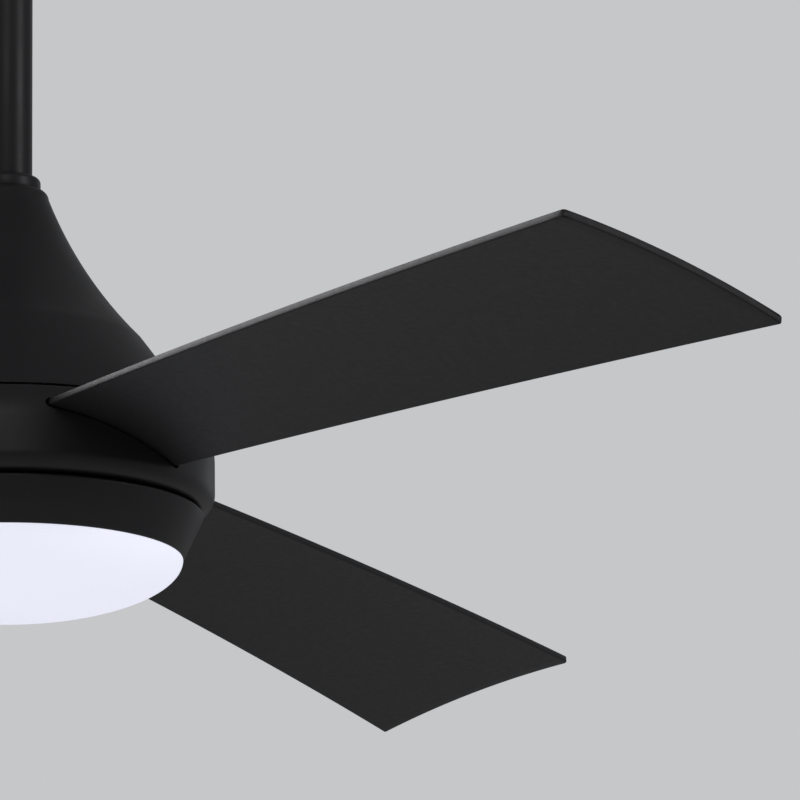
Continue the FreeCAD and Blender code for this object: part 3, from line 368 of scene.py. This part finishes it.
def make_shell():
    under = SHELL_TOP - SHELL_WALL
    outline = [(SHELL_BORE, SHELL_TOP)]
    outline += arc((SHELL_EDGE, SHELL_TOP), SHOULDER, SHOULDER_BEND, 6)
    outline += arc(SHOULDER, CREASE, -TRUMPET_BEND, 36)[1:]
    outline += arc(CREASE, RIM, SKIRT_BEND, 20)[1:]
    outline += arc(INNER_RIM, INNER_CREASE, SHELL_WALL - SKIRT_BEND, 20)
    outline += arc(INNER_CREASE, INNER_SHOULDER, TRUMPET_BEND + SHELL_WALL, 36)[1:]
    outline += [(SHELL_EDGE, under), (SHELL_BORE, under)]
    shape = spin_outline(outline, HUB)
    soften(shape, 0.35)
    return settle(shape, "shell_trumpet", "hanging_part", "black_paint", "upper_shell")


shell_trumpet = make_shell()

# %% [markdown]
# A blade is a thin cambered strip with softly rounded edges. It widens and droops towards the
# tip, and its leading edge stands higher than its trailing edge. Each cross-section is one
# ring of vertices; extruding the ring and moving it to the next station grows the blade, as
# ribs carry the skin of a wing.

# %% Blade sections
BLADE_ROOT = 88
BLADE_SPAN = 575
BLADE_THICKNESS = 4.5
CAMBER = 0.026
EDGE_ROUND = 1.1
ACROSS = 36
ROUND = 3
BLADE_TURNS = {"blade_1": -60, "blade_2": 60, "blade_3": 180}


def blade_facts(radius):
    """Sideways lead, level above the hub, chord and pitch of the blade at a radius."""
    share = (radius - BLADE_ROOT) / BLADE_SPAN
    lead = 6.8 + 4.6 * share - 6.2 * 4 * share * (1 - share)
    level = 8.4 - 26.9 * share
    chord = 88 + 56.3 * share
    pitch = math.radians(16.7 - 2 * share)
    return lead, level, chord, pitch


def strip_loop(chord, camber, thickness, edge_round):
    """Outline of a thin bowed strip with rounded edges, as (across, up) points."""
    rim = thickness / 2 - edge_round
    half = chord / 2 - edge_round
    bend = (half * half + camber * camber) / (2 * camber)
    spread = math.asin(half / bend)
    loop = []
    for hand in (1, -1):
        reach = bend + hand * thickness / 2
        for step in range(ACROSS + 1):
            lean = -hand * spread * math.cos(math.pi * step / ACROSS)
            loop.append((reach * math.sin(lean), reach * math.cos(lean) - bend + camber))
        lean = hand * spread
        for wall in (1, -1):
            turns = range(1, ROUND + 1) if wall == 1 else range(ROUND)
            for step in turns:
                turn = math.pi / 2 * (step / ROUND if wall == 1 else 1 + step / ROUND)
                out = hand * edge_round * math.sin(turn)
                up = hand * (wall * rim + edge_round * math.cos(turn))
                across = hand * half + out * math.cos(lean) + up * math.sin(lean)
                loop.append((across, up * math.cos(lean) - out * math.sin(lean)))
    return loop


def strip_points(radius, lead, level, pitch, loop):
    """Places a loop across the blade, tilted by its pitch, at a radius."""
    return [Vector((radius, lead + across * math.cos(pitch) + up * math.sin(pitch),
                    level - across * math.sin(pitch) + up * math.cos(pitch)))
            for across, up in loop]


def grow(shape, rings):
    """Extrude a closed ring of vertices through a list of rings and close both ends."""
    verts = [shape.verts.new(point * MM) for point in rings[0]]
    edges = [shape.edges.new(pair) for pair in zip(verts, verts[1:] + verts[:1])]
    caps = [edges]
    for ring in rings[1:]:
        grown = bmesh.ops.extrude_edge_only(shape, edges=edges)["geom"]
        fresh = {item for item in grown if isinstance(item, bmesh.types.BMVert)}
        verts = [next(edge.other_vert(vert) for edge in vert.link_edges
                      if edge.other_vert(vert) in fresh) for vert in verts]
        edges = [shape.edges.get(pair) for pair in zip(verts, verts[1:] + verts[:1])]
        for vert, point in zip(verts, ring):
            vert.co = point * MM
    caps.append(edges)
    for cap in caps:
        bmesh.ops.contextual_create(shape, geom=cap)


def swing(shape, verts, degrees):
    """Turn vertices from the blade's own place to its place round the hub."""
    bmesh.ops.rotate(shape, verts=verts, cent=(0, 0, 0),
                     matrix=Matrix.Rotation(math.radians(degrees), 3, "Z"))


print("strip points", len(strip_loop(100, 2.5, BLADE_THICKNESS, EDGE_ROUND)))

# %% [markdown]
# The tip is cut straight, a little aslant, with small round corners. The last rings of the
# blade are laid on that line, each drawn in a little more than the one before, so the tip
# rounds over like the long edges and needs no boolean and no bevel.

# %% Blades
TIP_EDGE = 657.42
TIP_SKEW = 4.6
TIP_FRONT = -58.41
TIP_BACK = 80.6
TIP_CORNER = 3
TIP_PASSES = 6
STATIONS = 26
LAST_STATION = 645
TIP_REACH = 20


def tip_radius(across):
    """How far out the tip's line lies at a place across the blade."""
    start, end = TIP_FRONT + TIP_CORNER, TIP_BACK - TIP_CORNER
    nearest = min(max(across, start), end)
    past = min(abs(across - nearest), TIP_CORNER)
    edge = TIP_EDGE - TIP_SKEW * (nearest - start) / (end - start)
    return edge - TIP_CORNER + math.sqrt(TIP_CORNER ** 2 - past ** 2)


def blade_ring(radius, shrink=0):
    """A ring of the blade's skin, drawn in by an even amount where the tip rounds over."""
    lead, level, chord, pitch = blade_facts(radius)
    loop = strip_loop(chord - 2 * shrink, chord * CAMBER, BLADE_THICKNESS - 2 * shrink,
                      max(EDGE_ROUND - shrink, 0.05))
    return strip_points(radius, lead, level, pitch, loop)


def tip_ring(turn):
    """A ring on the tip's round edge, from 0 where it starts to a right angle on its face."""
    shrink = EDGE_ROUND * (1 - math.cos(turn))
    inset = EDGE_ROUND * (1 - math.sin(turn))
    ring = []
    beyond = blade_ring(LAST_STATION + TIP_REACH, shrink)
    for start, end in zip(blade_ring(LAST_STATION, shrink), beyond):
        way = (end - start) / (end.x - start.x)
        point = start
        for _ in range(TIP_PASSES):
            point = start + way * (tip_radius(point.y) - inset - start.x)
        ring.append(point)
    return ring


def make_blade(node, degrees):
    step = (LAST_STATION - BLADE_ROOT) / (STATIONS - 1)
    rings = [blade_ring(BLADE_ROOT + step * count) for count in range(STATIONS)]
    rings += [tip_ring(math.pi / 2 * count / ROUND) for count in range(ROUND + 1)]
    shape = bmesh.new()
    grow(shape, rings)
    bmesh.ops.recalc_face_normals(shape, faces=shape.faces)
    bmesh.ops.translate(shape, verts=shape.verts, vec=(0, 0, HUB))
    swing(shape, shape.verts, degrees)
    number = node.split("_")[-1]
    return settle(shape, f"fan_blade_{number}", "rotor", "black_blade", node)


fan_blades = {node: make_blade(node, turn) for node, turn in BLADE_TURNS.items()}

# %% [markdown]
# The band is the turned ring that the blades grow out of. Each blade passes through a slot in
# its wall, a little larger than the blade all round and with round ends. The slots are cut
# with a boolean, because a hole through a curved wall has no simple extrusion.

# %% Blade band
SLOT_CLEARANCE = 0.8
SLOT_END = 1.7
SLOT_OUT = 128
SLOT_IN = 88.5
BAND_RADIUS = 123.2
BAND_WALL = 2.4


def slot_cutter():
    """Three strips, each a blade's section grown by the slot's clearance."""
    lead, level, chord, pitch = blade_facts(BAND_RADIUS)
    tall = BLADE_THICKNESS + 2 * SLOT_CLEARANCE
    loop = strip_loop(chord + 2 * SLOT_END, chord * CAMBER, tall, tall / 2 - 0.01)
    rings = [strip_points(radius, lead, level, pitch, loop) for radius in (SLOT_IN, SLOT_OUT)]
    shape = bmesh.new()
    for degrees in BLADE_TURNS.values():
        made = len(shape.verts)
        grow(shape, rings)
        swing(shape, shape.verts[made:], degrees)
    bmesh.ops.translate(shape, verts=shape.verts, vec=(0, 0, HUB))
    bmesh.ops.recalc_face_normals(shape, faces=shape.faces)
    return shape


def loose_object(shape, name):
    mesh = bpy.data.meshes.new(name)
    shape.to_mesh(mesh)
    shape.free()
    made = bpy.data.objects.new(name, mesh)
    bpy.context.collection.objects.link(made)
    return made


def carve(solid, tool):
    """Cut one shape with another and hand back the result as a new shape."""
    solid, tool = loose_object(solid, "uncut"), loose_object(tool, "cutter")
    cut = solid.modifiers.new("cut", "BOOLEAN")
    cut.operation, cut.solver, cut.object = "DIFFERENCE", "EXACT", tool
    view = bpy.context.evaluated_depsgraph_get()
    shape = bmesh.new()
    shape.from_mesh(bpy.data.meshes.new_from_object(solid.evaluated_get(view)))
    for leftover in (solid, tool):
        bpy.data.objects.remove(leftover)
    return shape


def make_band():
    foot, flange, top = (113.2, -BAND_DEPTH), 102, 30.7
    inner = BAND_RADIUS - BAND_WALL
    outline = [(flange, -16.1), (flange, -BAND_DEPTH), foot]
    outline += arc(foot, (BAND_RADIUS, -8.7), -10.5, 14)[1:]
    outline += arc((BAND_RADIUS, 10), (117.3, top), -39, 12)
    outline += [(114.9, top)]
    outline += arc((114.9, top), (inner, 10), 36.6, 12)[1:]
    outline += arc((inner, -8.9), (113.6, -16.1), 7.2, 8)
    shape = spin_outline(outline, HUB)
    soften(shape, 0.35)
    shape = carve(shape, slot_cutter())
    return settle(shape, "band_ring", "rotor", "black_paint", "blade_band")


band_ring = make_band()

# %% [markdown]
# The light ring is the lowest turned piece, a shallow funnel that narrows down to the lens.
# The lens is a bowl of opal plastic with a short neck that twists into the ring. Its outline
# starts and ends on the axis, so the spin closes it with a pole.

# %% Light ring and lens
RING_TOP = -20.8
RING_FLANGE = 2
RING_BORE = 96
RING_LOW = -47.4
RING_EDGE = 1.6
LENS_RIM = -47.6
LENS_RADIUS = 104.3
LENS_DEPTH = 31.8
LENS_WALL = 2.4
NECK_RADIUS = 101.5
NECK_HEIGHT = 7
LENS_STEPS = 40


def make_light_ring():
    under = RING_TOP - RING_FLANGE
    outline = [(RING_BORE, under), (110.4, under), (101.9, RING_LOW), (104.5, RING_LOW)]
    outline += arc((116.5, RING_TOP - RING_EDGE), (114.9, RING_TOP), -RING_EDGE, 6)
    outline += [(RING_BORE, RING_TOP)]
    shape = spin_outline(outline, HUB)
    soften(shape, 0.4)
    return settle(shape, "light_funnel", "hanging_part", "black_paint", "light_ring")


def bowl(radius, depth, count):
    """Points of a half ellipse from its pole on the axis up to its rim."""
    quarter = math.pi / 2 / count
    return [(radius * math.sin(quarter * step), LENS_RIM - depth * math.cos(quarter * step))
            for step in range(count + 1)]


def make_lens():
    bore = NECK_RADIUS - LENS_WALL
    outline = bowl(LENS_RADIUS, LENS_DEPTH, LENS_STEPS)
    outline += [(NECK_RADIUS, LENS_RIM), (NECK_RADIUS, LENS_RIM + NECK_HEIGHT)]
    outline += [(bore, LENS_RIM + NECK_HEIGHT)]
    outline += bowl(bore, LENS_DEPTH - LENS_WALL, LENS_STEPS)[::-1]
    shape = spin_outline(outline, HUB, closed=False)
    soften(shape, 0.3)
    return settle(shape, "opal_bowl", "hanging_part", "opal", "lens")


light_funnel = make_light_ring()
opal_bowl = make_lens()

# %% [markdown]
# Finishes come next. Each material is a small network of nodes. Noise read from Object
# coordinates stays put on its piece, and it drives three things at different scales: colour,
# roughness and a fine bump. The helpers below keep each finish to a few lines.

# %% Material tools


class Finish:
    """A material being built, with its shader and one method for each kind of node."""

    def __init__(self, name, color, rough, metal=0, specular=0.5):
        self.material = bpy.data.materials.new(name)
        self.material.use_nodes = True
        self.tree = self.material.node_tree
        self.shader = self.tree.nodes["Principled BSDF"]
        self.shader.inputs["Base Color"].default_value = (*color, 1)
        self.shader.inputs["Roughness"].default_value = rough
        self.shader.inputs["Metallic"].default_value = metal
        self.shader.inputs["Specular IOR Level"].default_value = specular
        self.material.diffuse_color = (*color, 1)

    def node(self, kind, **values):
        made = self.tree.nodes.new(kind)
        for name, value in values.items():
            made.inputs[name.replace("_", " ").title()].default_value = value
        return made

    def join(self, out, into):
        self.tree.links.new(out, into)

    def place(self, stretch=(1, 1, 1)):
        """Object coordinates, stretched along an axis where a grain runs that way."""
        coords = self.node("ShaderNodeTexCoord")
        mapping = self.node("ShaderNodeMapping", scale=stretch)
        self.join(coords.outputs["Object"], mapping.inputs["Vector"])
        return mapping.outputs["Vector"]

    def noise(self, scale, detail=3, stretch=(1, 1, 1)):
        made = self.node("ShaderNodeTexNoise", scale=scale, detail=detail, roughness=0.55)
        self.join(self.place(stretch), made.inputs["Vector"])
        return made.outputs["Fac"]

    def cells(self, scale, stretch=(1, 1, 1)):
        made = self.node("ShaderNodeTexVoronoi", scale=scale)
        self.join(self.place(stretch), made.inputs["Vector"])
        return made.outputs["Distance"]

    def layers(self, scale, axis):
        """Even bands stacked along one axis, as in laminations or windings."""
        made = self.node("ShaderNodeTexWave", scale=scale, distortion=0)
        made.wave_type, made.bands_direction = "BANDS", axis
        self.join(self.place(), made.inputs["Vector"])
        return made.outputs["Fac"]

    def remap(self, source, least, most, start=0.3, end=0.7):
        made = self.node("ShaderNodeMapRange", from_min=start, from_max=end, to_min=least,
                         to_max=most)
        self.join(source, made.inputs["Value"])
        return made.outputs["Result"]

    def colors(self, source, dark, light, start=0.3, end=0.7):
        """Base colour that runs from dark to light as the source rises."""
        ramp = self.node("ShaderNodeValToRGB")
        ramp.color_ramp.elements[0].position = start
        ramp.color_ramp.elements[1].position = end
        ramp.color_ramp.elements[0].color = (*dark, 1)
        ramp.color_ramp.elements[1].color = (*light, 1)
        self.join(source, ramp.inputs["Fac"])
        self.join(ramp.outputs["Color"], self.shader.inputs["Base Color"])

    def gloss(self, source, least, most, start=0.3, end=0.7):
        """Roughness that varies between two values."""
        self.join(self.remap(source, least, most, start, end), self.shader.inputs["Roughness"])

    def bumps(self, *layers):
        """Stack bumps, each a (source, strength, depth in millimetres)."""
        normal = None
        for source, strength, depth in layers:
            bump = self.node("ShaderNodeBump", strength=strength, distance=depth * MM)
            self.join(source, bump.inputs["Height"])
            if normal:
                self.join(normal, bump.inputs["Normal"])
            normal = bump.outputs["Normal"]
        self.join(normal, self.shader.inputs["Normal"])


def dress(material, *pieces):
    """Give pieces a material in place of whatever slots they came with."""
    for piece in pieces:
        piece.data.materials.clear()
        piece.data.materials.append(material)


print("material tools ready")

# %% [markdown]
# The housing wears a matte black powder coat. Powder melts into a film with a faint orange
# peel, a little rougher in places, and never quite black. The blades are a moulded matte
# black with a finer pebble, and a trace of grey where hands and dust have dulled them.

# %% Black finishes


def powder_coat():
    coat = Finish("matte_black_powder_coat", (0.01, 0.01, 0.0112), 0.42, specular=0.3)
    cloud = coat.noise(14, 4)
    coat.colors(cloud, (0.009, 0.009, 0.0102), (0.0115, 0.0115, 0.0129))
    coat.gloss(coat.noise(38, 4), 0.38, 0.46)
    coat.bumps((coat.noise(520, 2), 0.16, 0.09), (coat.noise(2400, 1), 0.1, 0.03))
    return coat.material


def blade_black():
    skin = Finish("matte_black_blade", (0.012, 0.012, 0.0132), 0.5, specular=0.24)
    skin.colors(skin.noise(160, 4), (0.0103, 0.0103, 0.0113), (0.0124, 0.0124, 0.0136))
    skin.gloss(skin.noise(240, 3), 0.47, 0.53)
    skin.bumps((skin.noise(1300, 2), 0.14, 0.05), (skin.cells(900), 0.05, 0.03))
    return skin.material


def screw_black():
    oxide = Finish("satin_black_screw", (0.02, 0.02, 0.022), 0.36, specular=0.5)
    oxide.colors(oxide.noise(300, 3), (0.015, 0.015, 0.017), (0.03, 0.03, 0.032))
    oxide.gloss(oxide.noise(500, 3), 0.3, 0.45)
    oxide.bumps((oxide.noise(1800, 2), 0.2, 0.02),)
    return oxide.material


def rubber_black():
    rubber = Finish("hanger_ball_rubber", (0.02, 0.02, 0.02), 0.75, specular=0.3)
    rubber.colors(rubber.noise(60, 4), (0.016, 0.016, 0.016), (0.028, 0.028, 0.027))
    rubber.gloss(rubber.noise(90, 3), 0.68, 0.84)
    rubber.bumps((rubber.noise(700, 3), 0.3, 0.08),)
    return rubber.material


def plastic_black():
    plastic = Finish("moulded_black_plastic", (0.03, 0.03, 0.033), 0.5, specular=0.4)
    plastic.colors(plastic.noise(40, 3), (0.026, 0.026, 0.029), (0.036, 0.036, 0.039))
    plastic.gloss(plastic.noise(70, 3), 0.42, 0.6)
    plastic.bumps((plastic.cells(1500), 0.2, 0.04),)
    return plastic.material


dress(powder_coat(), canopy_cup, rod_tube, collar_ring, shell_trumpet, band_ring, light_funnel)
dress(blade_black(), *fan_blades.values())
print("black finishes done")

# %% [markdown]
# Opal plastic glows evenly when the light behind it is on: the light scatters inside the wall
# until no lamp can be made out. Here a low, even glow is added to a pale satin plastic.

# %% Opal lens


def opal_glow():
    opal = Finish("lit_opal_plastic", (0.82, 0.84, 0.9), 0.42, specular=0.4)
    opal.colors(opal.noise(12, 2), (0.8, 0.82, 0.88), (0.84, 0.86, 0.92))
    opal.gloss(opal.noise(60, 3), 0.38, 0.48)
    opal.bumps((opal.noise(900, 2), 0.06, 0.03),)
    opal.shader.inputs["Emission Color"].default_value = (0.85, 0.86, 1, 1)
    opal.shader.inputs["Emission Strength"].default_value = 0.61
    return opal.material


dress(opal_glow(), opal_bowl)
print("lens glows")

# %% [markdown]
# The pieces inside keep the CAD model's own shapes, and only need honest finishes: zinc
# plate with its faint flowers, ground and turned steel, the stacked sheets of the motor core,
# enamelled copper wire, cast rotor shells, ferrite magnets and the lamp board.

# %% Metals and inner finishes


def zinc_plate():
    zinc = Finish("zinc_plated_steel", (0.62, 0.63, 0.65), 0.34, metal=1)
    zinc.colors(zinc.cells(110), (0.54, 0.55, 0.57), (0.68, 0.69, 0.7), 0.1, 0.7)
    zinc.gloss(zinc.cells(160), 0.26, 0.44, 0.1, 0.7)
    zinc.bumps((zinc.noise(600, 3), 0.12, 0.03),)
    return zinc.material


def turned_steel():
    steel = Finish("turned_steel", (0.55, 0.56, 0.58), 0.3, metal=1)
    lines = steel.noise(40, 3, stretch=(1, 1, 60))
    steel.colors(lines, (0.48, 0.49, 0.51), (0.6, 0.61, 0.62))
    steel.gloss(lines, 0.22, 0.4)
    steel.bumps((steel.noise(60, 2, stretch=(1, 1, 80)), 0.15, 0.02),)
    return steel.material


def bearing_steel():
    steel = Finish("polished_bearing_steel", (0.75, 0.76, 0.78), 0.12, metal=1)
    steel.colors(steel.noise(200, 2), (0.7, 0.71, 0.73), (0.78, 0.79, 0.8))
    steel.gloss(steel.noise(400, 3), 0.08, 0.2)
    steel.bumps((steel.noise(1500, 2), 0.04, 0.01),)
    return steel.material


def cast_zinc():
    cast = Finish("as_cast_zinc", (0.58, 0.59, 0.61), 0.5, metal=1)
    cast.colors(cast.noise(90, 4), (0.5, 0.51, 0.53), (0.63, 0.64, 0.65))
    cast.gloss(cast.noise(130, 4), 0.42, 0.6)
    cast.bumps((cast.noise(420, 4), 0.3, 0.08),)
    return cast.material


def core_sheets():
    core = Finish("stacked_core_sheets", (0.25, 0.25, 0.27), 0.42, metal=1)
    sheets = core.layers(630, "Z")
    core.colors(sheets, (0.16, 0.16, 0.17), (0.3, 0.3, 0.32))
    core.gloss(core.noise(200, 3), 0.34, 0.54)
    core.bumps((sheets, 0.5, 0.06),)
    return core.material


def copper_wire():
    wire = Finish("enamelled_copper_wire", (0.62, 0.28, 0.12), 0.3, metal=0.85)
    turns = wire.layers(400, "Z")
    wire.colors(turns, (0.42, 0.16, 0.06), (0.7, 0.34, 0.15), 0.1, 0.8)
    wire.gloss(wire.noise(300, 3), 0.24, 0.42)
    wire.bumps((turns, 0.7, 0.2),)
    return wire.material


def ferrite_block():
    magnet = Finish("ground_ferrite", (0.09, 0.09, 0.1), 0.55, specular=0.5)
    magnet.colors(magnet.noise(220, 4), (0.07, 0.07, 0.08), (0.12, 0.12, 0.13))
    magnet.gloss(magnet.noise(180, 3), 0.46, 0.66)
    magnet.bumps((magnet.noise(900, 3), 0.2, 0.04),)
    return magnet.material


def cast_aluminium():
    cast = Finish("die_cast_aluminium", (0.72, 0.73, 0.75), 0.4, metal=1)
    cast.colors(cast.noise(70, 4), (0.62, 0.63, 0.65), (0.76, 0.77, 0.78))
    cast.gloss(cast.noise(120, 4), 0.32, 0.5)
    cast.bumps((cast.noise(500, 4), 0.25, 0.06),)
    return cast.material


def lamp_phosphor():
    chip = Finish("lamp_phosphor", (0.95, 0.9, 0.55), 0.5)
    chip.colors(chip.noise(900, 2), (0.9, 0.82, 0.42), (0.97, 0.93, 0.62))
    chip.gloss(chip.noise(700, 2), 0.42, 0.6)
    chip.bumps((chip.noise(2500, 2), 0.1, 0.02),)
    return chip.material


FINISHES = {
    "black_paint": bpy.data.materials["matte_black_powder_coat"],
    "black_blade": bpy.data.materials["matte_black_blade"],
    "opal": bpy.data.materials["lit_opal_plastic"],
    "black_screw": screw_black(),
    "black_rubber": rubber_black(),
    "black_plastic": plastic_black(),
    "zinc_steel": zinc_plate(),
    "steel": turned_steel(),
    "bearing_steel": bearing_steel(),
    "cast_zinc": cast_zinc(),
    "lamination": core_sheets(),
    "copper": copper_wire(),
    "ferrite": ferrite_block(),
    "aluminium": cast_aluminium(),
    "led": lamp_phosphor(),
}
print("finishes:", len(FINISHES))

# %% [markdown]
# The record says which finish each node of the CAD model has, so the rest of the pieces are
# dressed in one loop.

# %% Dress the CAD nodes


def dress_nodes():
    count = 0
    for part in frame["record"]["subparts"]:
        node = frame["nodes"][part["node"]]
        if not node.hide_render:
            dress(FINISHES[part["material_slot"]], node)
            count += 1
    return count


print("CAD nodes dressed:", dress_nodes())
